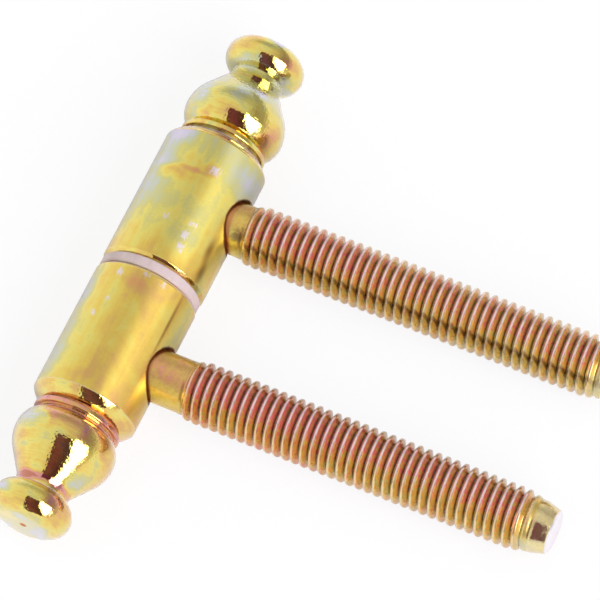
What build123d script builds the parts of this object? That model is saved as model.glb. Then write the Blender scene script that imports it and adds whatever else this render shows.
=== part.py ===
"""Screw-in hinge with turned finials, lying on a table with its two threaded studs side by side.

The frame half is a knuckle turned in one with its finial, with a stud pressed into its side and
the hinge pin pressed into its bore. A plain washer lies on the pin, and the leaf half, another
knuckle with its own finial and stud, turns on the pin above the washer and lifts off it.

Y is the hinge pin's axis, from the frame half to the leaf half. X is the way the studs point.
Z is up. The origin is under the middle of the whole hinge, on the table. Millimetres.
"""

import os
from math import acos, asin, atan2, cos, hypot, sin

from build123d import *

# Knuckles, both turned from one bar
knuckle_diameter = 14.0
frame_knuckle_length = 19.6
leaf_knuckle_length = 20.4
inner_chamfer = 0.5
end_bevel_length = 1.4
end_bevel_depth = 1.5
end_bevel_crown = 0.13

# Hinge pin, its bores and the washer on it
pin_diameter = 7.0
pin_running_clearance = 0.05
pin_pressed_length = 15.0
pin_reach = 15.0
pin_end_chamfer = 0.6
bore_end_space = 0.6
washer_thickness = 1.4
washer_inset = 0.15
washer_edge_chamfer = 0.2
washer_pin_clearance = 0.15

# Studs: bare shank, thread at its full diameter, then a plain tapered point. Both reach equally
# far from the pin's axis, so the shorter bare shank leaves room for a longer thread.
stud_reach = 60.9
thread_diameter = 8.0
thread_lead_in = 0.5
thread_run_out = 1.3
shank_diameter = 6.9
frame_bare_shank = 5.0
leaf_bare_shank = 2.45
point_length = 2.0
point_root_diameter = 6.8
point_diameter = 5.8
point_chamfer = 0.25
stud_from_outer_end = 9.3

# Stud seats in the knuckles: a flat-bottomed hole with a wider groove round its mouth
seat_wall = 0.45
seat_groove_width = 0.4
seat_groove_depth = 1.8

# Finials, outwards from the knuckle's end: groove, ring, groove, bulb, taper, throat and knob.
# The ring and the bulb are so much smaller than the bar, and the grooves than the ring.
ring_inset = 1.15
ring_width = 0.7
ring_chamfer = 0.15
inner_groove_depth = 0.55
inner_groove_width = 0.35
outer_groove_depth = 0.65
outer_groove_width = 0.25
bulb_inset = 0.25
bulb_rise_length = 2.85
bulb_shoulder_radius = 5.1
taper_length = 6.15
throat_radius = 3.55
throat_length = 0.9
throat_blend = 0.5
knob_radius = 5.35
knob_rim_depth = 2.47
knob_rim_half_width = 2.42
knob_flat_radius = 3.0
centre_mark_radius = 0.45
centre_mark_depth = 0.4

# Straight cuts that stand for each round run of a finial, within 0.02 mm of it
bulb_rise_cuts = 5
bulb_shoulder_cuts = 5
knob_rim_cuts = 14

# Worked-out sizes
knuckle_radius = knuckle_diameter / 2
pin_radius = pin_diameter / 2
shank_radius = shank_diameter / 2
thread_radius = thread_diameter / 2
ring_radius = knuckle_radius - ring_inset
inner_groove_radius = ring_radius - inner_groove_depth
outer_groove_radius = ring_radius - outer_groove_depth
bulb_radius = knuckle_radius - bulb_inset
thread_end = stud_reach - point_length - thread_run_out
frame_bore_radius = pin_radius
leaf_bore_radius = pin_radius + pin_running_clearance

# Finial stations, from the knuckle's end, and the angles where the knob's rim starts and stops
bulb_foot_at = inner_groove_width + ring_width + outer_groove_width
bulb_widest_at = bulb_foot_at + bulb_rise_length
throat_at = bulb_widest_at + taper_length
knob_rim_inset = knob_radius - knob_rim_depth
knob_start_turn = -acos((throat_radius - knob_rim_inset) / knob_rim_depth)
knob_end_turn = acos((knob_flat_radius - knob_rim_inset) / knob_rim_depth)
knob_widest_at = throat_at + throat_length - knob_rim_half_width * sin(knob_start_turn)
finial_length = knob_widest_at + knob_rim_half_width * sin(knob_end_turn)
overall_length = 2 * finial_length + frame_knuckle_length + washer_thickness + leaf_knuckle_length


# Each stud slopes down, because its knuckle and its thread's end both lie on the table
droop = asin(knuckle_radius / hypot(thread_end, thread_radius)) - atan2(thread_radius, thread_end)
stud_extent = stud_reach * cos(droop) + (point_diameter / 2 - point_chamfer) * sin(droop)

# Places along the pin's axis, and the axis itself
pin_x = (knuckle_radius - stud_extent) / 2
pin_z = knuckle_radius
frame_end_y = finial_length - overall_length / 2
washer_y = frame_end_y + frame_knuckle_length
leaf_face_y = washer_y + washer_thickness
leaf_end_y = leaf_face_y + leaf_knuckle_length
frame_stud_y = frame_end_y + stud_from_outer_end
leaf_stud_y = leaf_end_y - stud_from_outer_end

# Each knuckle's own plane lies in the hinge's flat, with its y along the pin towards its finial
frame_plane = Plane(origin=(pin_x, washer_y, pin_z), x_dir=(1, 0, 0), z_dir=(0, 0, -1))
leaf_plane = Plane(origin=(pin_x, leaf_face_y, pin_z), x_dir=(1, 0, 0), z_dir=(0, 0, 1))


def stud_plane(y):
    """Plane across a stud, on the pin's axis, facing along the stud."""
    return Plane(origin=(pin_x, y, pin_z), x_dir=(0, 1, 0), z_dir=(cos(droop), 0, -sin(droop)))


def cut_arc(centre, radii, start_turn, end_turn, cuts):
    """Corners of the straight cuts along an arc of the outline, its start and its end included."""
    turns = [start_turn + (end_turn - start_turn) * cut / cuts for cut in range(cuts + 1)]
    return [(centre[0] + radii[0] * cos(turn), centre[1] + radii[1] * sin(turn)) for turn in turns]


def ring_outline(end):
    """The knuckle's crowned end bevel, and the ring between its two grooves."""
    chord = hypot(end_bevel_length, end_bevel_depth)
    crown = (knuckle_radius - end_bevel_depth / 2 + end_bevel_crown * end_bevel_length / chord,
             end - end_bevel_length / 2 + end_bevel_crown * end_bevel_depth / chord)
    ring_start = end + inner_groove_width
    ring_end = ring_start + ring_width
    return [(knuckle_radius, end - end_bevel_length), crown,
            (knuckle_radius - end_bevel_depth, end),
            (inner_groove_radius, end), (inner_groove_radius, ring_start),
            (ring_radius - ring_chamfer, ring_start), (ring_radius, ring_start + ring_chamfer),
            (ring_radius, ring_end - ring_chamfer), (ring_radius - ring_chamfer, ring_end),
            (outer_groove_radius, ring_end)]


def bulb_outline(end):
    """The bulb: round up to its widest circle, round over its shoulder, then a straight taper."""
    widest_y = end + bulb_widest_at
    throat_y = end + throat_at

    # both round runs are upright at the widest circle, and the taper leaves the second one
    inset = bulb_radius - outer_groove_radius
    rise_radius = (bulb_rise_length**2 + inset**2) / (2 * inset)
    rise = cut_arc((bulb_radius - rise_radius, widest_y), (rise_radius, rise_radius),
                   -asin(bulb_rise_length / rise_radius), 0, bulb_rise_cuts)
    centre = (bulb_radius - bulb_shoulder_radius, widest_y)
    to_throat = (throat_radius - centre[0], taper_length)
    turn = atan2(to_throat[1], to_throat[0]) - acos(bulb_shoulder_radius / hypot(*to_throat))
    shoulder = cut_arc(centre, (bulb_shoulder_radius, bulb_shoulder_radius), 0, turn,
                       bulb_shoulder_cuts)

    # the taper meets the throat in a short blend
    taper = hypot(shoulder[-1][0] - throat_radius, throat_y - shoulder[-1][1])
    share = throat_blend / taper
    blend_start = (throat_radius + (shoulder[-1][0] - throat_radius) * share,
                   throat_y - (throat_y - shoulder[-1][1]) * share)
    return rise + shoulder[1:] + [blend_start, (throat_radius, throat_y + throat_blend)]


def knob_outline(end):
    """The knob: its round rim from the throat, its flat end and the lathe's centre mark."""
    knob_end = end + finial_length
    rim = cut_arc((knob_rim_inset, end + knob_widest_at), (knob_rim_depth, knob_rim_half_width),
                  knob_start_turn, knob_end_turn, knob_rim_cuts)
    return rim + [(centre_mark_radius, knob_end), (0, knob_end - centre_mark_depth)]


def turned_knuckle(name, plane, length, bore_radius, bore_depth, stud_y):
    """A knuckle and its finial turned in one, bored for the pin and seated for its stud."""
    with BuildPart() as knuckle:
        with BuildSketch(plane):
            with BuildLine():
                Polyline((0, 0), (knuckle_radius - inner_chamfer, 0),
                         (knuckle_radius, inner_chamfer), *ring_outline(length),
                         *bulb_outline(length), *knob_outline(length), close=True)
            make_face()
        revolve(axis=Axis(plane.origin, plane.y_dir))

        # the pin's blind bore, from the inner face
        with BuildSketch(Plane(origin=plane.origin, z_dir=plane.y_dir)):
            Circle(bore_radius)
        extrude(amount=bore_depth, mode=Mode.SUBTRACT)

        # the stud's seat and the groove round its mouth
        across = stud_plane(stud_y)
        with BuildSketch(across.offset(bore_radius + seat_wall)):
            Circle(shank_radius)
        extrude(amount=knuckle_radius, mode=Mode.SUBTRACT)
        with BuildSketch(across.offset(knuckle_radius - seat_groove_depth)):
            Circle(shank_radius + seat_groove_width)
        extrude(amount=knuckle_radius, mode=Mode.SUBTRACT)
    knuckle.part.label = name
    return knuckle.part


def stud(name, y, bare_shank, bore_radius):
    """A stud from the bottom of its seat to its point, with its thread at the full diameter."""
    across = stud_plane(y)
    start = bore_radius + seat_wall
    thread_start = knuckle_radius + bare_shank
    with BuildPart() as piece:
        with BuildSketch(Plane(origin=across.origin, x_dir=across.x_dir, z_dir=-across.y_dir)):
            with BuildLine():
                Polyline((0, start), (shank_radius, start), (shank_radius, thread_start),
                         (thread_radius, thread_start + thread_lead_in),
                         (thread_radius, thread_end),
                         (point_root_diameter / 2, stud_reach - point_length),
                         (point_diameter / 2, stud_reach - point_chamfer),
                         (point_diameter / 2 - point_chamfer, stud_reach), (0, stud_reach),
                         close=True)
            make_face()
        revolve(axis=Axis(across.origin, across.z_dir))
    piece.part.label = name
    return piece.part


def hinge_pin():
    """The pin, pressed into the frame knuckle and running in the leaf knuckle."""
    start = washer_y - pin_pressed_length
    with BuildPart() as pin:
        with BuildSketch(Plane(origin=(pin_x, start, pin_z), z_dir=(0, 1, 0))):
            Circle(pin_radius)
        extrude(amount=pin_pressed_length + washer_thickness + pin_reach)
        chamfer(pin.edges().filter_by(GeomType.CIRCLE), pin_end_chamfer)
    pin.part.label = "hinge_pin"
    return pin.part


def washer():
    """The flat washer between the two knuckles."""
    with BuildPart() as ring:
        with BuildSketch(Plane(origin=(pin_x, washer_y, pin_z), z_dir=(0, 1, 0))):
            Circle(knuckle_radius - washer_inset)
            Circle(pin_radius + washer_pin_clearance, mode=Mode.SUBTRACT)
        extrude(amount=washer_thickness)
        chamfer(ring.edges().filter_by(GeomType.CIRCLE).sort_by(SortBy.RADIUS)[-2:],
                washer_edge_chamfer)
    ring.part.label = "washer"
    return ring.part


pieces = [
    turned_knuckle("frame_knuckle", frame_plane, frame_knuckle_length, frame_bore_radius,
                   pin_pressed_length, frame_stud_y),
    turned_knuckle("leaf_knuckle", leaf_plane, leaf_knuckle_length, leaf_bore_radius,
                   pin_reach + bore_end_space, leaf_stud_y),
    stud("frame_stud", frame_stud_y, frame_bare_shank, frame_bore_radius),
    stud("leaf_stud", leaf_stud_y, leaf_bare_shank, leaf_bore_radius),
    hinge_pin(),
    washer(),
]

os.makedirs("parts", exist_ok=True)
for piece in pieces:
    export_step(piece, f"parts/{piece.label}.step")
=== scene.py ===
"""Looks of the screw-in hinge: turned knuckles with finials, rolled threads, plating and studio.

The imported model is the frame. Sizes below repeat the part's own, in millimetres. Each turned piece
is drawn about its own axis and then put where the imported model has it. Y is the hinge pin's axis,
X the way the studs point, and Z is up.
"""

from math import acos, asin, atan2, cos, hypot, pi, radians, sin
from types import SimpleNamespace

import bmesh
import bpy
from mathutils import Matrix, Vector


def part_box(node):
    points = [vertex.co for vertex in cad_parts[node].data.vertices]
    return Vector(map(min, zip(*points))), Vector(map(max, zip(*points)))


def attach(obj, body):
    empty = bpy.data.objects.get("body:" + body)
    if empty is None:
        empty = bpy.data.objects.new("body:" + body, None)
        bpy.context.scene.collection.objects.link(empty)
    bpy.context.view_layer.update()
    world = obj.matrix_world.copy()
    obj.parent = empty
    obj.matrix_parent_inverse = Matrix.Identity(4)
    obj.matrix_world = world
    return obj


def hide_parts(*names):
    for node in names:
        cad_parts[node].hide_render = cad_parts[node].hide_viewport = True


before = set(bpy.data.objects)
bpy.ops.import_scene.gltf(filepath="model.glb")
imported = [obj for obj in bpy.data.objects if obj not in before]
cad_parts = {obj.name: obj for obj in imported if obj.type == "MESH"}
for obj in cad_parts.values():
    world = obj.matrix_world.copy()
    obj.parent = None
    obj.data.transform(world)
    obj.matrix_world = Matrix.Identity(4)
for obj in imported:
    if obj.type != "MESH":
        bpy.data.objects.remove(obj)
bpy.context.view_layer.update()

MM = 0.001

# Camera, fitted to the photograph, and how far it sees in metres
CAMERA_AZIMUTH = 36.1
CAMERA_ELEVATION = 61.2
CAMERA_ROLL = -12.55
CAMERA_DISTANCE = 693.1
CAMERA_LENS = 329.7
CAMERA_AIM = (-8.25, 4.94, 7.0)
CAMERA_CLIP_END = 20

# Studio: a pale tent that is dimmer at its far end, the photographer's dark shape round the camera,
# which is warmer in its middle, and a window beside it. Their edges are parts of a direction's unit
# vector, and their light a share of STUDIO_LEVEL.
STUDIO_LEVEL = 4.5
TENT_SHADES = [(0.0, 0.25), (0.3, 0.22), (0.5, 0.19), (0.66, 0.165), (0.78, 0.09), (0.9, 0.1),
               (1.0, 0.22)]
TENT_FAR = (0.11, 0.11, 0.11)
TENT_FAR_Y = (0.4, 0.9)
TENT_FAR_Z = (0.1, 0.6)
DARK = (0.02, 0.01, 0.015)
DARK_X = (-0.13, 0.48)
DARK_TOP_Y = -0.12
DARK_WARM = (0.048, 0.018, 0.03)
DARK_WARM_X = (0.0, 0.05)
WINDOW = (1.45, 1.42, 1.62)
WINDOW_X = 0.53
WINDOW_TOP_Y = -0.01
WINDOW_FOOT_Z = 0.37
WINDOW_FOOT_LEAN = 0.35
STUDIO_EDGE = 0.02

# Floor: half its width in metres, and how far the camera sees it glow
FLOOR_HALF_WIDTH = 3.0
FLOOR_GLOW = 0.85

# Knuckles
FRAME_KNUCKLE_LENGTH = 19.6
LEAF_KNUCKLE_LENGTH = 20.4
KNUCKLE_RADIUS = 7.0
INNER_CHAMFER = 0.5
EDGE_ROUND = 0.05
BEVEL_EDGE_ROUND = 0.12
BEVEL_LENGTH = 1.4
BEVEL_DEPTH = 1.5
BEVEL_CROWN = 0.13
BEVEL_SUPPORT = 0.2
BORE_RADIUS = 3.55
BORE_DEPTH = 15.6
SEAT_GROOVE_RADIUS = 3.85
SEAT_GROOVE_FLOOR = 5.2

# Finials, from the knuckle's end outwards
INNER_GROOVE_RADIUS = 5.3
INNER_GROOVE_WIDTH = 0.35
RING_RADIUS = 5.85
RING_WIDTH = 0.7
RING_CHAMFER = 0.15
OUTER_GROOVE_RADIUS = 5.2
OUTER_GROOVE_WIDTH = 0.25
BULB_RADIUS = 6.75
BULB_RISE = 2.85
BULB_SHOULDER_RADIUS = 5.1
TAPER_LENGTH = 6.15
THROAT_RADIUS = 3.55
THROAT_LENGTH = 0.9
THROAT_BLEND = 0.8
KNOB_RADIUS = 5.35
KNOB_RIM_DEPTH = 2.47
KNOB_RIM_HALF_WIDTH = 2.42
KNOB_FLAT_RADIUS = 3.0
CENTRE_MARK_RADIUS = 0.45
CENTRE_MARK_DEPTH = 0.4

# Studs, from the pin's axis outwards
STUD_Y = {"frame_stud": -11.4, "leaf_stud": 11.4}
BARE_SHANK = {"frame_stud": 5.0, "leaf_stud": 2.45}
THREAD_PHASE = {"frame_stud": 0.37, "leaf_stud": 0.4}
STUD_DROOP = 2.9909
STUD_REACH = 60.9
STUD_START = 5.0
SHANK_RADIUS = 3.45
THREAD_PITCH = 1.25
THREAD_CREST = 3.99
THREAD_ROOT = 3.27
THREAD_RUN_IN = 1.6
THREAD_RUN_OUT = 2.4
THREAD_EARLY = 1.5
POINT_LENGTH = 2.0
POINT_ROOT_RADIUS = 3.4
POINT_RADIUS = 2.9
POINT_CHAMFER = 0.25

# Shape of one thread, as (share of the pitch from the crest's middle, share of the depth)
THREAD_SHAPE = [(-0.5, 0.0), (-0.47, 0.01), (-0.43, 0.08), (-0.29, 0.5), (-0.175, 0.86),
                (-0.14, 0.96), (-0.09, 1.0), (0.09, 1.0), (0.14, 0.96), (0.175, 0.86), (0.29, 0.5),
                (0.43, 0.08), (0.47, 0.01), (0.499, 0.0)]

# How finely the round pieces are divided, how near two points count as one, and how short along
# the stud a face is left out
KNUCKLE_SEGMENTS = 192
STUD_SEGMENTS = 96
ARC_STEP = radians(5)
SHARP_ANGLE = radians(28)
SAME_POINT = 0.0001
FLAT_FACE = 0.000001

# Zones of a knuckle, which are also its material slots
BARREL, GLOSS, GROOVE, BORE = range(4)

# Places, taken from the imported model
washer_low, washer_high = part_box("washer")
pin_x = (washer_low.x + washer_high.x) / 2
pin_z = (washer_low.z + washer_high.z) / 2
pin_axis = Vector((pin_x, 0, pin_z))


def make_object(name, mesh, materials):
    """A new object in the scene, with its materials in slot order."""
    piece = bpy.data.objects.new(name, mesh)
    bpy.context.scene.collection.objects.link(piece)
    for material in materials:
        mesh.materials.append(material)
    return piece


def smooth(mesh):
    """Smooth shading, with edges sharper than the limit kept crisp."""
    mesh.polygons.foreach_set("use_smooth", [True] * len(mesh.polygons))
    mesh.set_sharp_from_angle(angle=SHARP_ANGLE)


def arc(centre, radii, start, end):
    """Points along an arc of a turned outline, from its start angle to its end angle."""
    count = max(2, round(abs(end - start) / ARC_STEP))
    turns = [start + (end - start) * i / count for i in range(count + 1)]
    return [(centre[0] + radii[0] * cos(turn), centre[1] + radii[1] * sin(turn)) for turn in turns]


def bend(start, corner, end, count=6):
    """A short curve that leaves one straight run of an outline and joins the next."""
    points = []
    for i in range(count + 1):
        t = i / count
        points.append(tuple((1 - t) ** 2 * a + 2 * t * (1 - t) * b + t * t * c
                            for a, b, c in zip(start, corner, end)))
    return points


def broken_edge(before, corner, after, size=EDGE_ROUND):
    """The small round that a real edge has, where two straight runs of an outline meet."""
    before, corner, after = Vector(before), Vector(corner), Vector(after)
    start = corner + (before - corner).normalized() * size
    end = corner + (after - corner).normalized() * size
    return bend(start, corner, end, count=3)


def bevel_points(end):
    """The crowned bevel at a knuckle's outer end."""
    chord = hypot(BEVEL_LENGTH, BEVEL_DEPTH)
    radius = (chord**2 / 4 + BEVEL_CROWN**2) / (2 * BEVEL_CROWN)
    lean = atan2(BEVEL_DEPTH, BEVEL_LENGTH)
    middle = (KNUCKLE_RADIUS - BEVEL_DEPTH / 2, end - BEVEL_LENGTH / 2)
    centre = (middle[0] - (radius - BEVEL_CROWN) * cos(lean),
              middle[1] - (radius - BEVEL_CROWN) * sin(lean))
    half = asin(chord / 2 / radius)
    return arc(centre, (radius, radius), lean - half, lean + half)


def ring_points(start):
    """The ring between the two grooves, with its edges broken."""
    end = start + RING_WIDTH
    low = RING_RADIUS - RING_CHAMFER
    return [(INNER_GROOVE_RADIUS, start),
            *bend((low, start), (RING_RADIUS, start), (RING_RADIUS, start + RING_CHAMFER), count=4),
            *bend((RING_RADIUS, end - RING_CHAMFER), (RING_RADIUS, end), (low, end), count=4),
            (OUTER_GROOVE_RADIUS, end)]


def bulb_points(foot):
    """The bulb: round up to its widest circle, round over its shoulder, and a straight taper."""
    widest = foot + BULB_RISE
    throat = (THROAT_RADIUS, widest + TAPER_LENGTH)
    inset = BULB_RADIUS - OUTER_GROOVE_RADIUS
    rise_radius = (BULB_RISE**2 + inset**2) / (2 * inset)
    rise = arc((BULB_RADIUS - rise_radius, widest), (rise_radius, rise_radius),
               -asin(BULB_RISE / rise_radius), 0)
    centre = (BULB_RADIUS - BULB_SHOULDER_RADIUS, widest)
    reach = (throat[0] - centre[0], TAPER_LENGTH)
    turn = atan2(reach[1], reach[0]) - acos(BULB_SHOULDER_RADIUS / hypot(*reach))
    shoulder = arc(centre, (BULB_SHOULDER_RADIUS, BULB_SHOULDER_RADIUS), 0, turn)
    taper_start, throat_corner = Vector(shoulder[-1]), Vector(throat)
    blend_start = throat_corner + (taper_start - throat_corner).normalized() * THROAT_BLEND
    blend_end = throat_corner + Vector((0, THROAT_BLEND))
    return rise + shoulder[1:] + bend(blend_start, throat_corner, blend_end)


def knob_points(start):
    """The knob from the end of the throat: round rim, flat end and centre mark."""
    inset = KNOB_RADIUS - KNOB_RIM_DEPTH
    first_turn = -acos((THROAT_RADIUS - inset) / KNOB_RIM_DEPTH)
    last_turn = acos((KNOB_FLAT_RADIUS - inset) / KNOB_RIM_DEPTH)
    widest = start - KNOB_RIM_HALF_WIDTH * sin(first_turn)
    rim = arc((inset, widest), (KNOB_RIM_DEPTH, KNOB_RIM_HALF_WIDTH), first_turn, last_turn)
    end = rim[-1][1]
    mark_edge = (CENTRE_MARK_RADIUS, end)
    return rim + [mark_edge], [mark_edge, (0, end - CENTRE_MARK_DEPTH)]


def knuckle_runs(length, bored):
    """A knuckle's turned outline from its inner face to the knob, as (zone, points) runs."""
    face_edge = (KNUCKLE_RADIUS - INNER_CHAMFER, 0)
    side_edge = (KNUCKLE_RADIUS, INNER_CHAMFER)
    bevel = bevel_points(length)
    bevel_edge = broken_edge((KNUCKLE_RADIUS, 0), bevel[0], bevel[1], BEVEL_EDGE_ROUND)
    bevel_support = Vector(bevel_edge[-1]).lerp(Vector(bevel[1]), BEVEL_SUPPORT)
    ring_start = length + INNER_GROOVE_WIDTH
    ring = ring_points(ring_start)
    foot = ring_start + RING_WIDTH + OUTER_GROOVE_WIDTH
    groove_middle = foot - OUTER_GROOVE_WIDTH / 2
    throat_end = foot + BULB_RISE + TAPER_LENGTH + THROAT_LENGTH
    knob, mark = knob_points(throat_end)
    bore = [(0, BORE_DEPTH), (BORE_RADIUS, BORE_DEPTH), (BORE_RADIUS, 0)] if bored else [(0, 0)]
    return [
        (BORE, bore),
        (GLOSS, [bore[-1], *broken_edge(bore[-1], face_edge, side_edge)]),
        (GLOSS, broken_edge(face_edge, side_edge, (KNUCKLE_RADIUS, length / 2))),
        (BARREL, [(KNUCKLE_RADIUS, INNER_CHAMFER + 2 * EDGE_ROUND),
                  (KNUCKLE_RADIUS, bevel_edge[0][1] - EDGE_ROUND)]),
        (GLOSS, [*bevel_edge, bevel_support, *bevel[1:]]),
        (GROOVE, [(INNER_GROOVE_RADIUS, length), ring[0]]),
        (GLOSS, ring),
        (GROOVE, [(OUTER_GROOVE_RADIUS, groove_middle), (OUTER_GROOVE_RADIUS, foot)]),
        (GLOSS, bulb_points(foot) + knob),
        (GROOVE, mark),
    ]


def turned_mesh(name, runs, segments):
    """A lathe-turned mesh about Y from (zone, points) runs, each run joined to the next one."""
    maker = bmesh.new()
    rings, zones = [], []
    for zone, points in runs:
        for radius, y in points:
            if rings and (Vector((radius, y)) - rings[-1][0]).length < SAME_POINT:
                zones[-1] = zone
                continue
            if radius < SAME_POINT:
                ring = [maker.verts.new((0, y * MM, 0))] * segments
            else:
                turns = [2 * pi * i / segments for i in range(segments)]
                ring = [maker.verts.new((radius * MM * sin(turn), y * MM, radius * MM * cos(turn)))
                        for turn in turns]
            rings.append((Vector((radius, y)), ring))
            zones.append(zone)
    for (_, lower), (_, upper), zone in zip(rings, rings[1:], zones):
        for i in range(segments):
            j = (i + 1) % segments
            corners = list(dict.fromkeys((lower[i], lower[j], upper[j], upper[i])))
            maker.faces.new(corners).material_index = zone
    bmesh.ops.recalc_face_normals(maker, faces=maker.faces)
    mesh = bpy.data.meshes.new(name)
    maker.to_mesh(mesh)
    maker.free()
    return mesh


def stud_place(name):
    """Placement of a stud: its own Z runs along the stud from the pin's axis."""
    slope = radians(STUD_DROOP)
    along = Vector((cos(slope), 0, -sin(slope)))
    side = Vector((0, 1, 0))
    place = Matrix((side.cross(along), side, along)).transposed().to_4x4()
    place.translation = pin_axis + Vector((0, STUD_Y[name] * MM, 0))
    return place


def cut_seat(piece, stud_name):
    """Cuts the groove round a stud's foot into a knuckle."""
    maker = bmesh.new()
    length = KNUCKLE_RADIUS
    bmesh.ops.create_cone(maker, cap_ends=True, segments=STUD_SEGMENTS,
                          radius1=SEAT_GROOVE_RADIUS * MM, radius2=SEAT_GROOVE_RADIUS * MM,
                          depth=length * MM)
    lift = Matrix.Translation((0, 0, (SEAT_GROOVE_FLOOR + length / 2) * MM))
    maker.transform(stud_place(stud_name) @ lift)
    for face in maker.faces:
        face.material_index = GROOVE
    mesh = bpy.data.meshes.new("seat_cutter")
    maker.to_mesh(mesh)
    maker.free()
    cutter = make_object("seat_cutter", mesh, piece.data.materials)
    modifier = piece.modifiers.new("seat", "BOOLEAN")
    modifier.object = cutter
    modifier.solver = "EXACT"
    cut = bpy.data.meshes.new_from_object(
        piece.evaluated_get(bpy.context.evaluated_depsgraph_get()))
    piece.modifiers.clear()
    piece.data = cut
    bpy.data.objects.remove(cutter)


def make_knuckle(node, body, length, bored, face_y, direction, stud_name, materials):
    """A knuckle with its finial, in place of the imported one."""
    mesh = turned_mesh(node + "_turned", knuckle_runs(length, bored), KNUCKLE_SEGMENTS)
    turn = Matrix.Identity(4) if direction > 0 else Matrix.Rotation(pi, 4, "X")
    mesh.transform(Matrix.Translation(pin_axis + Vector((0, face_y, 0))) @ turn)
    piece = make_object(node + "_turned", mesh, materials)
    cut_seat(piece, stud_name)
    smooth(piece.data)
    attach(piece, body)
    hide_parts(node)
    return piece


def blank_radius(x, thread_start, thread_stop):
    """Radius of the stud between the threads, which the thread grows out of and runs out into."""
    if x <= thread_start:
        return SHANK_RADIUS
    if x >= thread_stop:
        return POINT_ROOT_RADIUS
    share = (x - thread_start) / (thread_stop - thread_start)
    return SHANK_RADIUS + (POINT_ROOT_RADIUS - SHANK_RADIUS) * share


def eased(share):
    """A share kept between 0 and 1, which leaves both softly."""
    share = min(1, max(0, share))
    return share * share * (3 - 2 * share)


def thread_height(x, depth_share, thread_start, thread_stop):
    """The stud's radius at a share of the thread's depth, and how far the thread stands at x."""
    grown = eased((x - thread_start) / (THREAD_RUN_IN * THREAD_PITCH))
    left = eased((thread_stop - x) / (THREAD_RUN_OUT + 0.5 * THREAD_PITCH))
    share = min(grown, left)
    full = THREAD_ROOT + (THREAD_CREST - THREAD_ROOT) * depth_share
    return blank_radius(x, thread_start, thread_stop) * (1 - share) + full * share, share


def stud_point(maker, radius, angle, x):
    """One point of a stud, which stands along Z here."""
    return maker.verts.new((radius * MM * cos(angle), radius * MM * sin(angle), x * MM))


def thread_columns(maker, phase, start, stop):
    """Columns of points along the thread. Their rows follow the helix, so its crests stay crisp.

    Two values stay on each point for the plating: place is where it lies on its thread, from -0.5
    at one root to 0.5 at the next, and threaded says how far the thread stands there.
    """
    place = maker.verts.layers.float.new("place")
    threaded = maker.verts.layers.float.new("threaded")
    end_pitch = int((stop - start) / THREAD_PITCH) + 2
    columns = []
    for i in range(STUD_SEGMENTS):
        column = []
        for pitch in range(-1, end_pitch):
            for offset, depth_share in THREAD_SHAPE:
                pitches = pitch + offset + i / STUD_SEGMENTS + phase
                x = min(max(start + pitches * THREAD_PITCH, start), stop)
                radius, share = thread_height(x, depth_share, start, stop)
                point = stud_point(maker, radius, 2 * pi * i / STUD_SEGMENTS, x)
                point[place], point[threaded] = offset, share
                column.append(point)
        columns.append(column)
    return columns


def join_columns(maker, columns):
    """Faces between neighbouring columns. The last one meets the first a whole thread on."""
    neighbours = columns[1:] + [columns[0][len(THREAD_SHAPE):]]
    for column, after in zip(columns, neighbours):
        for j in range(len(after) - 1):
            corners = (column[j], after[j], after[j + 1], column[j + 1])
            heights = [corner.co.z for corner in corners]
            if max(heights) - min(heights) > FLAT_FACE * MM:
                maker.faces.new(corners)


def plain_run(maker, outline):
    """A turned run of a stud through (radius, x) points. Its rings of points are given back."""
    turns = [2 * pi * i / STUD_SEGMENTS for i in range(STUD_SEGMENTS)]
    rings = [[stud_point(maker, radius, turn, x) for turn in turns] for radius, x in outline]
    for lower, upper in zip(rings, rings[1:]):
        for i in range(STUD_SEGMENTS):
            j = (i + 1) % STUD_SEGMENTS
            maker.faces.new((lower[i], lower[j], upper[j], upper[i]))
    return rings


def stud_mesh(name):
    """A stud: bare shank, helical thread and plain point."""
    start = KNUCKLE_RADIUS + BARE_SHANK[name] - THREAD_EARLY
    stop = STUD_REACH - POINT_LENGTH
    maker = bmesh.new()
    join_columns(maker, thread_columns(maker, THREAD_PHASE[name], start, stop))
    shank = plain_run(maker, [(SHANK_RADIUS, STUD_START), (SHANK_RADIUS, start)])
    point = plain_run(maker, [(POINT_ROOT_RADIUS, stop), (POINT_RADIUS, STUD_REACH - POINT_CHAMFER),
                              (POINT_RADIUS - POINT_CHAMFER, STUD_REACH)])
    maker.faces.new(list(reversed(shank[0])))
    maker.faces.new(point[-1])
    bmesh.ops.remove_doubles(maker, verts=maker.verts, dist=SAME_POINT * MM)
    bmesh.ops.dissolve_degenerate(maker, edges=maker.edges, dist=SAME_POINT * MM)
    mesh = bpy.data.meshes.new(name + "_rolled")
    maker.to_mesh(mesh)
    maker.free()
    return mesh


def make_stud(node, body, materials):
    """A stud with a real thread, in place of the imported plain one."""
    mesh = stud_mesh(node)
    mesh.transform(stud_place(node))
    piece = make_object(node + "_rolled", mesh, materials)
    smooth(mesh)
    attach(piece, body)
    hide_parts(node)
    return piece


def add(tree, kind, inputs=None, **settings):
    """A node with its settings, and with each input set to a value or linked to a socket."""
    node = tree.nodes.new(kind)
    for key, value in settings.items():
        setattr(node, key, value)
    for key, value in (inputs or {}).items():
        if isinstance(value, bpy.types.NodeSocket):
            tree.links.new(value, node.inputs[key])
        else:
            node.inputs[key].default_value = value
    return node


def calc(tree, operation, *values, clamp=False):
    """The result of one Math node."""
    node = add(tree, "ShaderNodeMath", dict(enumerate(values)), operation=operation,
               use_clamp=clamp)
    return node.outputs[0]


def vector_calc(tree, operation, *values):
    """The result of one Vector Math node, which is a number for a length or a dot product."""
    node = add(tree, "ShaderNodeVectorMath", dict(enumerate(values)), operation=operation)
    return node.outputs["Value" if operation in ("LENGTH", "DOT_PRODUCT") else "Vector"]


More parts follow.
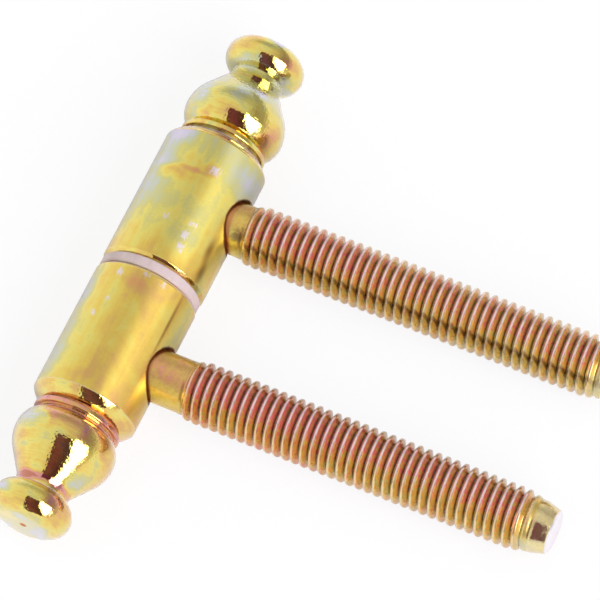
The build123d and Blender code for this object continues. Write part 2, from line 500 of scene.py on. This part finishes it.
def total(tree, start, *shares):
    """A start value and a share of others, which come as (value, weight)."""
    for value, weight in shares:
        start = calc(tree, "MULTIPLY_ADD", value, weight, start)
    return start


def product(tree, first, *others):
    """Several values multiplied."""
    for value in others:
        first = calc(tree, "MULTIPLY", first, value)
    return first


def largest(tree, first, *others):
    """The largest of several values."""
    for value in others:
        first = calc(tree, "MAXIMUM", first, value)
    return first


def mix(tree, factor, first, second, blend_type="MIX"):
    """Two colours mixed by a factor."""
    node = add(tree, "ShaderNodeMix", data_type="RGBA", blend_type=blend_type)
    for index, value in ((0, factor), (6, first), (7, second)):
        if isinstance(value, bpy.types.NodeSocket):
            tree.links.new(value, node.inputs[index])
        else:
            node.inputs[index].default_value = value if index == 0 else (*value, 1)
    return node.outputs[2]


def ramp(tree, factor, stops):
    """A colour ramp through (position, colour) stops."""
    node = add(tree, "ShaderNodeValToRGB", {"Fac": factor})
    elements = node.color_ramp.elements
    while len(elements) < len(stops):
        elements.new(0.5)
    for element, (position, colour) in zip(elements, stops):
        element.position = position
        element.color = (*colour, 1)
    return node.outputs["Color"]


def grey_ramp(tree, factor, stops):
    """A ramp through (position, lightness) stops."""
    return ramp(tree, factor, [(position, (lightness,) * 3) for position, lightness in stops])


def level(tree, value, low, high):
    """A factor that rises smoothly from 0 at low to 1 at high."""
    node = add(tree, "ShaderNodeMapRange", {"Value": value, "From Min": low, "From Max": high},
               interpolation_type="SMOOTHSTEP")
    return node.outputs["Result"]


def place_in_mm(tree, origin=(0, 0, 0), stretch=(1, 1, 1)):
    """The point on the object in millimetres from an origin, and stretched for a grain."""
    coordinates = add(tree, "ShaderNodeTexCoord").outputs["Object"]
    moved = add(tree, "ShaderNodeMapping", {"Vector": coordinates,
                                            "Location": [-v / MM for v in origin],
                                            "Scale": (1 / MM, 1 / MM, 1 / MM)})
    return vector_calc(tree, "MULTIPLY", moved.outputs[0], stretch)


def noise(tree, vector, scale, detail=2.0, roughness=0.5, distortion=0.0):
    """Noise between 0 and 1."""
    node = add(tree, "ShaderNodeTexNoise", {"Vector": vector, "Scale": scale, "Detail": detail,
                                            "Roughness": roughness, "Distortion": distortion})
    return node.outputs["Fac"]


def y_of(tree, place):
    """How far a point lies along the hinge pin."""
    return add(tree, "ShaderNodeSeparateXYZ", {0: place}).outputs["Y"]


def bump(tree, height, depth, strength=1.0):
    """The normal of a surface whose height varies by a depth in mm."""
    node = add(tree, "ShaderNodeBump", {"Strength": strength, "Distance": depth * MM,
                                        "Height": height})
    return node.outputs[0]


def material(name):
    """An empty node material."""
    made = bpy.data.materials.new(name)
    made.use_nodes = True
    made.node_tree.nodes.clear()
    return made, made.node_tree


def finish_shader(tree, inputs):
    """The surface shader, joined to the material's output."""
    shader = add(tree, "ShaderNodeBsdfPrincipled", inputs)
    add(tree, "ShaderNodeOutputMaterial", {"Surface": shader.outputs[0]})


# Plating colours as (share of the film's thickness, colour), from thin to thick
FILM = [(0.0, (0.50, 0.17, 0.10)), (0.1, (0.70, 0.29, 0.27)), (0.2, (0.73, 0.35, 0.14)),
        (0.32, (0.70, 0.44, 0.12)), (0.45, (0.78, 0.56, 0.10)), (0.58, (0.77, 0.66, 0.15)),
        (0.68, (0.64, 0.58, 0.18)), (0.8, (0.57, 0.57, 0.32)), (0.9, (0.54, 0.57, 0.5)),
        (1.0, (0.62, 0.57, 0.66))]
BROWN = (0.16, 0.07, 0.02)
ORANGE = (0.60, 0.26, 0.07)
OLIVE = (0.42, 0.34, 0.08)
WORN = (0.74, 0.66, 0.66)

# The pale sheen that the film has at a grazing view
FILM_SHEEN = {"Sheen Weight": 0.8, "Sheen Roughness": 0.3, "Sheen Tint": (0.8, 0.8, 0.92, 1)}

# A reach that takes in the whole hinge
WIDE = 30


def on_knuckle(turn, y, radius=KNUCKLE_RADIUS):
    """A point on the knuckles, at a turn in degrees from the top to +X."""
    return Vector((radius * sin(radians(turn)), y, radius * cos(radians(turn))))


def ring_stain(y, reach, change):
    """A stain all the way round the hinge."""
    return Vector((0, y, 0)), (WIDE, reach, WIDE), change


def patch(tree, place, centre, reach):
    """A soft patch: 1 at its centre, falling to 0 at its reach in x, y and z."""
    offset = vector_calc(tree, "SUBTRACT", place, centre)
    scaled = vector_calc(tree, "MULTIPLY", offset, [1 / r for r in reach])
    return level(tree, vector_calc(tree, "LENGTH", scaled), 1.0, 0.0)


def stained(tree, place, film, stains):
    """The film's thickness with its stains, whose edges wander by up to half a millimetre."""
    wander = noise(tree, place, 0.5, 1.5)
    moved = vector_calc(tree, "ADD", place, wander)
    moved = vector_calc(tree, "SUBTRACT", moved, (0.5, 0.5, 0.5))
    return total(tree, film, *[(patch(tree, moved, centre, reach), change)
                               for centre, reach, change in stains])


# Stains as (centre, reach, change of the film's thickness)
FINIAL_STAINS = [
    # Frame half, from its ring to its knob
    ring_stain(-21.3, 0.9, -0.42),
    ring_stain(-23, 1.8, -0.2),
    (on_knuckle(40, -24), (5, 3, 5), -0.18),
    (on_knuckle(-35, -25), (3.5, 2.5, 4), 0.35),
    (on_knuckle(75, -30, 5), (3, 3, 3.5), 0.35),
    ring_stain(-31.2, 0.9, -0.45),
    (on_knuckle(50, -33.5, 5), (4, 2, 4), -0.3),
    (on_knuckle(-40, -34, 5), (3, 1.5, 3), 0.35),
    ring_stain(-37.2, 1.6, 0.4),
    # Leaf half, from its ring to its knob
    (on_knuckle(60, 22.8, 6), (3, 1.2, 3), -0.12),
    (on_knuckle(60, 25, 6), (4, 4, 4), -0.1),
    (on_knuckle(-45, 25.5), (4, 4, 5), 0.2),
    ring_stain(27.5, 4.5, 0.28),
    (on_knuckle(35, 28, 6), (1.8, 1.4, 1.8), 0.3),
    ring_stain(31.9, 2, 0.3),
    (on_knuckle(50, 34, 5), (3, 1.8, 3), -0.25),
    (on_knuckle(20, 35.8, 4), (2.2, 1, 2.2), 0.5),
]
BARREL_STAINS_AND_PAINTED_SHEEN = [
    # Leaf half: bluer towards its outer end, and bluer along its sides as a painted sheen
    ring_stain(21, 9, 0.34),
    ring_stain(11.5, 12, 0.16),
    ring_stain(5, 10, 0.16),
    (on_knuckle(-42, 13), (5, 12, 6), 0.36),
    (on_knuckle(-30, 19), (3.5, 3, 4), 0.34),
    (on_knuckle(42, 12), (5, 14, 6), 0.08),
    (on_knuckle(80, 16), (4, 4, 6), 0.3),
    (on_knuckle(-36, 5), (2.5, 3.5, 3), -0.1),
    # Leaf half: the red stain across its top
    (on_knuckle(-22, 13.1), (3.2, 0.7, 2.5), -0.12),
    (on_knuckle(-14, 12.8), (5.5, 1.8, 3.5), -0.28),
    (on_knuckle(3, 13.8), (3.4, 0.6, 2), -0.3),
    (on_knuckle(22, 14.7), (1.8, 1.3, 1.8), -0.35),
    # Frame half: bluer along its sides as a painted sheen, redder at its ends, and redder down one
    # line as a painted reflection
    (on_knuckle(-52, -14), (4.5, 12, 6), 0.5),
    (on_knuckle(-52, -4), (3, 5, 4), 0.35),
    (on_knuckle(-18, -11), (2.6, 18, 2.6), 0.15),
    (on_knuckle(42, -10), (4, 14, 5), 0.12),
    (on_knuckle(85, -9), (3.5, 12, 5), 0.3),
    (on_knuckle(5, -3.6), (4.5, 2.8, 3), -0.1),
    (on_knuckle(-14, -17.8), (5, 1.5, 4), -0.12),
    (on_knuckle(59, -6), (0.7, 9, 0.9), -0.15),
]

# Rubbed places as (centre, reach), the two rubbed edges, and streaks of painted dark reflection as
# (centre, reach)
WORN_PLACES = [
    (on_knuckle(25, 14.8), 1.7), (on_knuckle(30, 7), 1.3), (on_knuckle(28, 5.3), 1.5),
    (on_knuckle(29, 3.4), 1.4), (on_knuckle(1, 6.4), 1.1), (on_knuckle(-16, -2.8), 1.3),
    (on_knuckle(-15, -6.8), 0.9), (on_knuckle(-22, -9.2), 1.1), (on_knuckle(12, -1.9), 1.1),
    (on_knuckle(32, -2.2), 1.1),
]
EDGE_WEAR_Y = (-19.0, 19.8)
EDGE_WEAR_REACH = 0.4
DARK_REFLECTION_STREAKS = [
    (on_knuckle(61, 5.5), (0.7, 2.6, 1.1)), (on_knuckle(65, 2.4), (0.7, 2.8, 1.1)),
    (on_knuckle(58.5, -6), (0.3, 7, 0.45)),
]
SEAT_RIM_X = 6.5
SEAT_RIM_Z = -0.35
SEAT_RIM_REACH = (3.5, 4.4, 4.4)


def edge_wear(tree, place, smudges):
    """1 on the barrels' outer edges, here and there along them."""
    here_and_there = level(tree, smudges, 0.3, 0.5)
    bands = [patch(tree, place, (0, y, 0), (WIDE, EDGE_WEAR_REACH, WIDE)) for y in EDGE_WEAR_Y]
    return product(tree, largest(tree, *bands), here_and_there)


def finial_material():
    """Bright yellow plating over fine turning marks."""
    made, tree = material("finial_plating")
    place = place_in_mm(tree, pin_axis)
    clouds = noise(tree, place, 0.35, 2.0, 0.5, 0.4)
    turning = noise(tree, place_in_mm(tree, pin_axis, (0.5, 4.0, 0.5)), 1.0, 2.0, 0.6)
    smudges = noise(tree, place, 1.4, 3.0, 0.6)
    pits = noise(tree, place, 3.2, 0.5)
    film = total(tree, -0.22, (clouds, 1.0), (turning, 0.4))
    colour = ramp(tree, stained(tree, place, film, FINIAL_STAINS), FILM)
    colour = mix(tree, edge_wear(tree, place, smudges), colour, WORN)
    height = total(tree, turning, (pits, 2.4))
    finish_shader(tree, {"Base Color": colour, "Metallic": 1.0,
                         "Roughness": total(tree, 0.0, (smudges, 0.08), (turning, 0.05)),
                         "Normal": bump(tree, height, 0.01),
                         "Coat Weight": 1.0, "Coat Roughness": 0.05, **FILM_SHEEN})
    return made


def worn_flecks(tree, place):
    """1 on short scratches, which are mostly in the rubbed places."""
    scratches = noise(tree, place_in_mm(tree, pin_axis, (3.4, 1.4, 3.4)), 1.0, 4.0, 0.7, 0.6)
    rubbed = largest(tree, *[patch(tree, place, centre, (reach,) * 3)
                             for centre, reach in WORN_PLACES])
    return level(tree, total(tree, scratches, (rubbed, 0.35)), 0.68, 0.88)


def barrel_dirt_and_painted_reflection(tree, place):
    """1 on the ragged rims of the seats, less on the streaks of painted dark reflection, and faint
    specks elsewhere.
    """
    ragged = noise(tree, place, 1.2, 3.0, 0.7)
    rims = []
    for y in STUD_Y.values():
        near = patch(tree, place, (SEAT_RIM_X, y, SEAT_RIM_Z), SEAT_RIM_REACH)
        rims.append(level(tree, total(tree, near, (ragged, 0.05)), 0.035, 0.06))
    browned = largest(tree, *rims)
    # Streaks of painted dark reflection
    for centre, reach in DARK_REFLECTION_STREAKS:
        streak = patch(tree, place, centre, reach)
        browned = calc(tree, "MULTIPLY_ADD", streak, 0.7, browned, clamp=True)
    return browned


def barrel_material():
    """Satin plating with clouds of colour, draw lines, stains, worn flecks and dirt, with a painted
    sheen along the sides and painted dark reflections in streaks.
    """
    made, tree = material("barrel_plating")
    place = place_in_mm(tree, pin_axis)
    clouds = noise(tree, place, 0.25, 2.0, 0.5, 0.3)
    lines = noise(tree, place_in_mm(tree, pin_axis, (0.9, 0.04, 0.9)), 1.0, 2.0, 0.5)
    grain = noise(tree, place, 2.5, 3.0, 0.7)
    film = total(tree, -0.18, (clouds, 0.6), (lines, 0.35), (grain, 0.2))
    colour = ramp(tree, stained(tree, place, film, BARREL_STAINS_AND_PAINTED_SHEEN), FILM)
    colour = mix(tree, worn_flecks(tree, place), colour, WORN)
    # Dirt on the seats' rims and in specks, and painted dark reflections in streaks, in brown
    colour = mix(tree, barrel_dirt_and_painted_reflection(tree, place), colour, BROWN)
    around = add(tree, "ShaderNodeTangent", direction_type="RADIAL", axis="Y").outputs[0]
    finish_shader(tree, {"Base Color": colour, "Metallic": 1.0,
                         "Tangent": around, "Anisotropic": 0.6, "Anisotropic Rotation": 0.25,
                         "Roughness": total(tree, 0.34, (grain, 0.16)),
                         "Normal": bump(tree, grain, 0.02, 0.4),
                         "Coat Weight": 0.5, "Coat Roughness": 0.25, **FILM_SHEEN})
    return made


def groove_shade_material():
    """Painted shade in the grooves, the seats and the centre mark: a dull dark film, copper on the
    frame half and olive on the leaf half.
    """
    made, tree = material("groove_painted_shade")
    place = place_in_mm(tree, pin_axis)
    mottle = noise(tree, place, 0.8, 2.0)
    copper = ramp(tree, mottle, [(0.3, BROWN), (0.55, ORANGE)])
    olive = ramp(tree, mottle, [(0.3, BROWN), (0.55, OLIVE)])
    on_leaf = level(tree, y_of(tree, place), 12.0, 18.0)
    finish_shader(tree, {"Base Color": mix(tree, on_leaf, copper, olive), "Metallic": 0.4,
                         "Roughness": 0.5})
    return made


# Film on the threads, from thin to thick. Light bounces between their flanks, which deepens it.
THREAD_FILM = [(0.0, (0.68, 0.13, 0.09)), (0.15, (0.74, 0.23, 0.06)), (0.3, (0.76, 0.35, 0.04)),
               (0.5, (0.75, 0.46, 0.04)), (0.7, (0.72, 0.55, 0.08)), (1.0, (0.72, 0.64, 0.3))]

# What that film is multiplied by, with painted shade in the roots and a painted reflection in the
# olive line beside them, and where a pale line lies on it, partly rubbed and partly a painted
# highlight, from one root to the next
ROOT_PAINTED_SHADE = (0.02, 0.015, 0.01)
THREAD_PAINTED_SHADE = [(0.0, ROOT_PAINTED_SHADE), (0.06, ROOT_PAINTED_SHADE), (0.1, (0.88, 0.88, 0.88)),
                 (0.9, (0.88, 0.88, 0.88)), (0.93, (0.75, 0.93, 0.85)),
                 (0.97, (0.65, 0.85, 0.75)), (0.985, ROOT_PAINTED_SHADE)]
CREST_WEAR_AND_HIGHLIGHT = [(0.09, 0.0), (0.13, 1.0), (0.56, 1.0), (0.6, 0.0)]

PALE_YELLOW = (0.85, 0.74, 0.45)
PALE_PINK = (0.93, 0.8, 0.84)
END_ZINC = (0.92, 0.91, 0.92)

# Places on a stud where a change starts and where it is complete, in mm beside its axis towards +Y,
# out along it, or from the pin's axis
FRONT_SIDE = (-1.0, -2.6)
FRONT_EDGE = (-2.6, -3.6)
BACK_SIDE = (1.6, 3.2)
GOLDEN_PART = (24.0, 36.0)
FRONT_PALE = (-1.2, -3.0)
BACK_PALE = (1.8, 3.2)
# Where painted shade darkens a stud's back side
BACK_PAINTED_SHADE = (1.8, 3.6)
# Where a painted dark reflection runs along the leaf stud
REFLECTION_LINE_START = (-2.6, -2.85)
REFLECTION_LINE_STOP = (-3.3, -3.05)
POINT_START = (STUD_REACH - POINT_LENGTH - 1.0, STUD_REACH - POINT_LENGTH)
END_FACE = (STUD_REACH - POINT_CHAMFER, STUD_REACH - 0.1)
KNUCKLE_RIM = (KNUCKLE_RADIUS + 0.45, KNUCKLE_RADIUS + 0.1)
STUD_SMUDGE = (8.2, 9.2, 2.4)
STUD_SMUDGE_REACH = (1.5, 1.5, 2.0)


def stud_measures(tree):
    """What the plating depends on at a point of a stud.

    half is -1 on the frame stud and 1 on the leaf stud, and on_leaf is 0 and 1. side is in mm
    beside the stud's axis towards +Y, along in mm out along the stud, and away in mm from the pin's
    axis. turn runs from 0 at one root of the thread to 1 at the next, threaded is 1 where the
    thread has its full height, and pointed is 1 on the plain point.
    """
    place = place_in_mm(tree, pin_axis)
    y = y_of(tree, place)
    half = calc(tree, "SIGN", y)
    slope = radians(STUD_DROOP)
    along = vector_calc(tree, "DOT_PRODUCT", place, (cos(slope), 0, -sin(slope)))
    on_thread = add(tree, "ShaderNodeAttribute", attribute_name="place").outputs["Fac"]
    return SimpleNamespace(
        place=place,
        half=half,
        on_leaf=level(tree, half, 0.0, 1.0),
        side=total(tree, y, (half, -STUD_Y["leaf_stud"])),
        along=along,
        away=vector_calc(tree, "LENGTH", vector_calc(tree, "MULTIPLY", place, (1, 0, 1))),
        turn=calc(tree, "ADD", on_thread, 0.5),
        threaded=add(tree, "ShaderNodeAttribute", attribute_name="threaded").outputs["Fac"],
        pointed=level(tree, along, *POINT_START))


def stud_film(tree, at, grain):
    """The film's thickness on a stud, which grows towards its sides and its point."""
    clouds = noise(tree, at.place, 0.3, 3.0, 0.55, 0.3)
    golden = level(tree, total(tree, at.along, (at.half, 2.5)), *GOLDEN_PART)
    return total(tree, -0.375, (clouds, 0.7), (grain, 0.35),
                 (level(tree, at.side, *FRONT_SIDE), 0.24),
                 (level(tree, at.side, *FRONT_EDGE), 0.1),
                 (level(tree, at.side, *BACK_SIDE), 0.2), (at.half, 0.05), (golden, 0.14))


def plain_colour(tree, at, film):
    """The colour of a stud's bare shank, and the paler one of its point."""
    thicker = total(tree, calc(tree, "ADD", film, 0.16), (at.on_leaf, -0.06))
    return mix(tree, product(tree, at.pointed, 0.6), ramp(tree, thicker, FILM), PALE_YELLOW)


def thread_colour(tree, at, film, dust):
    """The colour of the thread: flecked, with painted shade at its root, and with a pale line that
    is partly rubbed metal and partly a painted highlight.
    """
    flecked = level(tree, dust, 0.4, 0.62)
    thinner = total(tree, calc(tree, "ADD", film, -0.34), (flecked, 0.6))
    # Painted shade at the roots, and a painted reflection in an olive line beside them
    shaded = mix(tree, 1.0, ramp(tree, thinner, THREAD_FILM), ramp(tree, at.turn, THREAD_PAINTED_SHADE),
                 "MULTIPLY")
    at_sides = largest(tree, level(tree, at.side, *FRONT_PALE), level(tree, at.side, *BACK_PALE))
    faded = total(tree, 0.5, (flecked, 0.4))
    # The pale line along the crest: partly rubbed metal, partly a painted highlight
    return mix(tree, product(tree, grey_ramp(tree, at.turn, CREST_WEAR_AND_HIGHLIGHT), faded), shaded,
               mix(tree, at_sides, PALE_PINK, PALE_YELLOW))


def stud_dirt_and_painted_shade(tree, at, dust):
    """Painted shade along a stud's back side, dirt in speckles, and a painted dark reflection in a
    line along the leaf stud.
    """
    # Painted shade along the back side, strong on the frame stud and faint on the leaf stud
    back = product(tree, level(tree, at.side, *BACK_PAINTED_SHADE), total(tree, 0.5, (at.on_leaf, -0.45)))
    smudge = patch(tree, at.place, STUD_SMUDGE, STUD_SMUDGE_REACH)
    speckles = level(tree, total(tree, dust, (smudge, 0.3)), 0.46, 0.66)
    soiled = total(tree, 0.15, (at.threaded, 0.35), (smudge, 0.7))
    # A line of painted dark reflection along the leaf stud's front side
    dark_reflection = product(tree, level(tree, at.side, *REFLECTION_LINE_START), level(tree, at.side, *REFLECTION_LINE_STOP),
                    at.on_leaf, 0.65, at.threaded)
    return largest(tree, back, product(tree, speckles, soiled), dark_reflection)


def stud_material():
    """Gold to red plating, orange next to the knuckle, and bare zinc on the end face."""
    made, tree = material("stud_plating")
    at = stud_measures(tree)
    grain = noise(tree, at.place, 3.0, 3.0, 0.65)
    dust = noise(tree, at.place, 2.2, 4.0, 0.75)
    film = stud_film(tree, at, grain)
    colour = mix(tree, at.threaded, plain_colour(tree, at, film),
                 thread_colour(tree, at, film, dust))
    # Dirt, painted shade and a painted dark reflection, all in brown
    colour = mix(tree, stud_dirt_and_painted_shade(tree, at, dust), colour, BROWN)
    rim = level(tree, total(tree, at.away, (at.half, -0.15)), *KNUCKLE_RIM)
    colour = mix(tree, rim, colour, ORANGE)
    end_colour = mix(tree, product(tree, grain, 0.5), END_ZINC, WORN)
    colour = mix(tree, level(tree, at.along, *END_FACE), colour, end_colour)
    height = product(tree, grain, total(tree, 0.5, (at.pointed, 3.0)))
    glossy = largest(tree, at.threaded, at.pointed)
    finish_shader(tree, {"Base Color": colour,
                         "Metallic": total(tree, 1.0, (at.threaded, -0.35)),
                         "Roughness": total(tree, 0.28, (glossy, -0.23), (grain, 0.2)),
                         "Normal": bump(tree, height, 0.01),
                         "Coat Weight": 0.7, "Coat Roughness": 0.08})
    return made


def pin_material():
    """Ground steel with a film of oil."""
    made, tree = material("pin_ground_steel")
    grind = noise(tree, place_in_mm(tree, pin_axis, (0.3, 6.0, 0.3)), 1.0, 3.0, 0.6)
    colour = ramp(tree, grind, [(0.3, (0.42, 0.42, 0.43)), (0.7, (0.66, 0.66, 0.68))])
    finish_shader(tree, {"Base Color": colour, "Metallic": 1.0,
                         "Roughness": total(tree, 0.18, (grind, 0.15))})
    return made


def washer_material():
    """Milky nylon with faint streaks."""
    made, tree = material("washer_nylon")
    streaks = noise(tree, place_in_mm(tree, pin_axis, (0.6, 0.2, 0.6)), 1.0, 3.0, 0.6)
    colour = ramp(tree, streaks, [(0.35, (0.52, 0.42, 0.40)), (0.65, (0.60, 0.50, 0.47))])
    finish_shader(tree, {"Base Color": colour, "Roughness": 0.42, "Subsurface Weight": 0.2,
                         "Subsurface Scale": 0.8 * MM})
    return made


def studio_light(tree):
    """The light that comes from each direction: the tent, the dark shape and the window."""
    direction = add(tree, "ShaderNodeTexCoord").outputs["Generated"]
    x, y, z = add(tree, "ShaderNodeSeparateXYZ", {0: direction}).outputs

    def above(value, limit):
        return level(tree, value, limit - STUDIO_EDGE, limit + STUDIO_EDGE)

    def below(value, limit):
        return level(tree, value, limit + STUDIO_EDGE, limit - STUDIO_EDGE)

    around = total(tree, 0.5, (calc(tree, "ARCTAN2", x, z), 1 / pi))
    far = product(tree, level(tree, y, *TENT_FAR_Y), level(tree, z, *TENT_FAR_Z))
    light = mix(tree, far, grey_ramp(tree, around, TENT_SHADES), TENT_FAR)
    dark = product(tree, above(x, DARK_X[0]), below(x, DARK_X[1]), below(y, DARK_TOP_Y))
    warm = product(tree, level(tree, x, DARK_X[0], DARK_WARM_X[0]),
                   level(tree, x, DARK_X[1], DARK_WARM_X[1]))
    light = mix(tree, dark, light, mix(tree, warm, DARK, DARK_WARM))
    foot = total(tree, z, (y, -WINDOW_FOOT_LEAN))
    window = product(tree, above(x, WINDOW_X), below(y, WINDOW_TOP_Y), above(foot, WINDOW_FOOT_Z))
    return mix(tree, window, light, WINDOW)


def make_world():
    """The studio, which the camera itself sees as white."""
    world = bpy.data.worlds.new("studio")
    bpy.context.scene.world = world
    world.use_nodes = True
    tree = world.node_tree
    tree.nodes.clear()
    scaled = add(tree, "ShaderNodeVectorMath", {0: studio_light(tree), "Scale": STUDIO_LEVEL},
                 operation="SCALE")
    shown = add(tree, "ShaderNodeLightPath").outputs["Is Camera Ray"]
    colour = mix(tree, shown, scaled.outputs[0], (1, 1, 1))
    background = add(tree, "ShaderNodeBackground", {"Color": colour, "Strength": 1.0})
    add(tree, "ShaderNodeOutputWorld", {"Surface": background.outputs[0]})


def make_floor():
    """The pale floor, which shows almost white and keeps the object's soft shadow."""
    made, tree = material("floor_paper")
    fibres = noise(tree, place_in_mm(tree), 0.05, 2.0)
    colour = grey_ramp(tree, fibres, [(0.3, 0.92), (0.7, 0.94)])
    paper = add(tree, "ShaderNodeBsdfDiffuse", {"Color": colour})
    glow = add(tree, "ShaderNodeEmission", {"Color": (1, 1, 1, 1), "Strength": 1.0})
    shown = add(tree, "ShaderNodeLightPath").outputs["Is Camera Ray"]
    surface = add(tree, "ShaderNodeMixShader", {0: product(tree, shown, FLOOR_GLOW),
                                                1: paper.outputs[0], 2: glow.outputs[0]})
    add(tree, "ShaderNodeOutputMaterial", {"Surface": surface.outputs[0]})
    maker = bmesh.new()
    bmesh.ops.create_grid(maker, x_segments=1, y_segments=1, size=FLOOR_HALF_WIDTH)
    mesh = bpy.data.meshes.new("floor")
    maker.to_mesh(mesh)
    maker.free()
    make_object("floor", mesh, [made])


def make_camera():
    """The camera, at the photograph's angle."""
    azimuth, elevation = radians(CAMERA_AZIMUTH), radians(CAMERA_ELEVATION)
    back = Vector((sin(azimuth) * cos(elevation), -cos(azimuth) * cos(elevation), sin(elevation)))
    right = Vector((0, 0, 1)).cross(back).normalized()
    up = back.cross(right)
    roll = radians(CAMERA_ROLL)
    right, up = right * cos(roll) + up * sin(roll), up * cos(roll) - right * sin(roll)
    data = bpy.data.cameras.new("camera")
    data.lens = CAMERA_LENS
    data.clip_end = CAMERA_CLIP_END
    camera = bpy.data.objects.new("camera", data)
    bpy.context.scene.collection.objects.link(camera)
    camera.matrix_world = Matrix((right, up, back)).transposed().to_4x4()
    camera.location = (Vector(CAMERA_AIM) + back * CAMERA_DISTANCE) * MM
    bpy.context.scene.camera = camera


make_camera()
make_world()
make_floor()
bpy.context.scene.view_settings.view_transform = "Standard"

knuckle_materials = [barrel_material(), finial_material(), groove_shade_material(), pin_material()]
make_knuckle("frame_knuckle", "frame_half", FRAME_KNUCKLE_LENGTH, False, washer_low.y, -1,
             "frame_stud", knuckle_materials)
make_knuckle("leaf_knuckle", "leaf_half", LEAF_KNUCKLE_LENGTH, True, washer_high.y, 1,
             "leaf_stud", knuckle_materials)
stud_materials = [stud_material()]
make_stud("frame_stud", "frame_half", stud_materials)
make_stud("leaf_stud", "leaf_half", stud_materials)
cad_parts["hinge_pin"].material_slots[0].material = knuckle_materials[BORE]
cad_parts["washer"].material_slots[0].material = washer_material()
